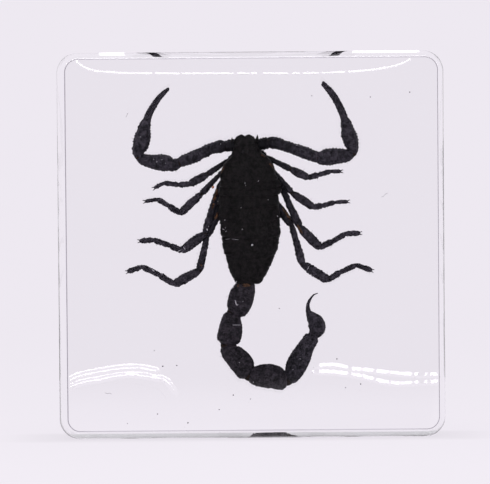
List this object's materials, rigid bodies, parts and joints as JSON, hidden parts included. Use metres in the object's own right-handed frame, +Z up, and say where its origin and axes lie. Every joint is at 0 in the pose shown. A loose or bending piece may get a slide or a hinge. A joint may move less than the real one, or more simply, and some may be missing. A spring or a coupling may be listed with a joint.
{
  "type": "scorpion in resin block",
  "caption": "Square clear resin block with rounded corners and a black scorpion cast inside, standing on one edge.",
  "frame": {"origin": "centre of the block's footprint, on the surface that it stands on", "axes": "+Z up, -Y out of the front face, +X to the right seen from the front"},
  "size_m": [0.075, 0.025, 0.075],
  "materials": {
    "cuticle": "dried black cuticle with a low sheen",
    "resin": "clear, polished"
  },
  "bodies": {
    "root": {"scorpion": "cuticle", "resin_front": "resin", "resin_back": "resin"}
  },
  "joints": []
}
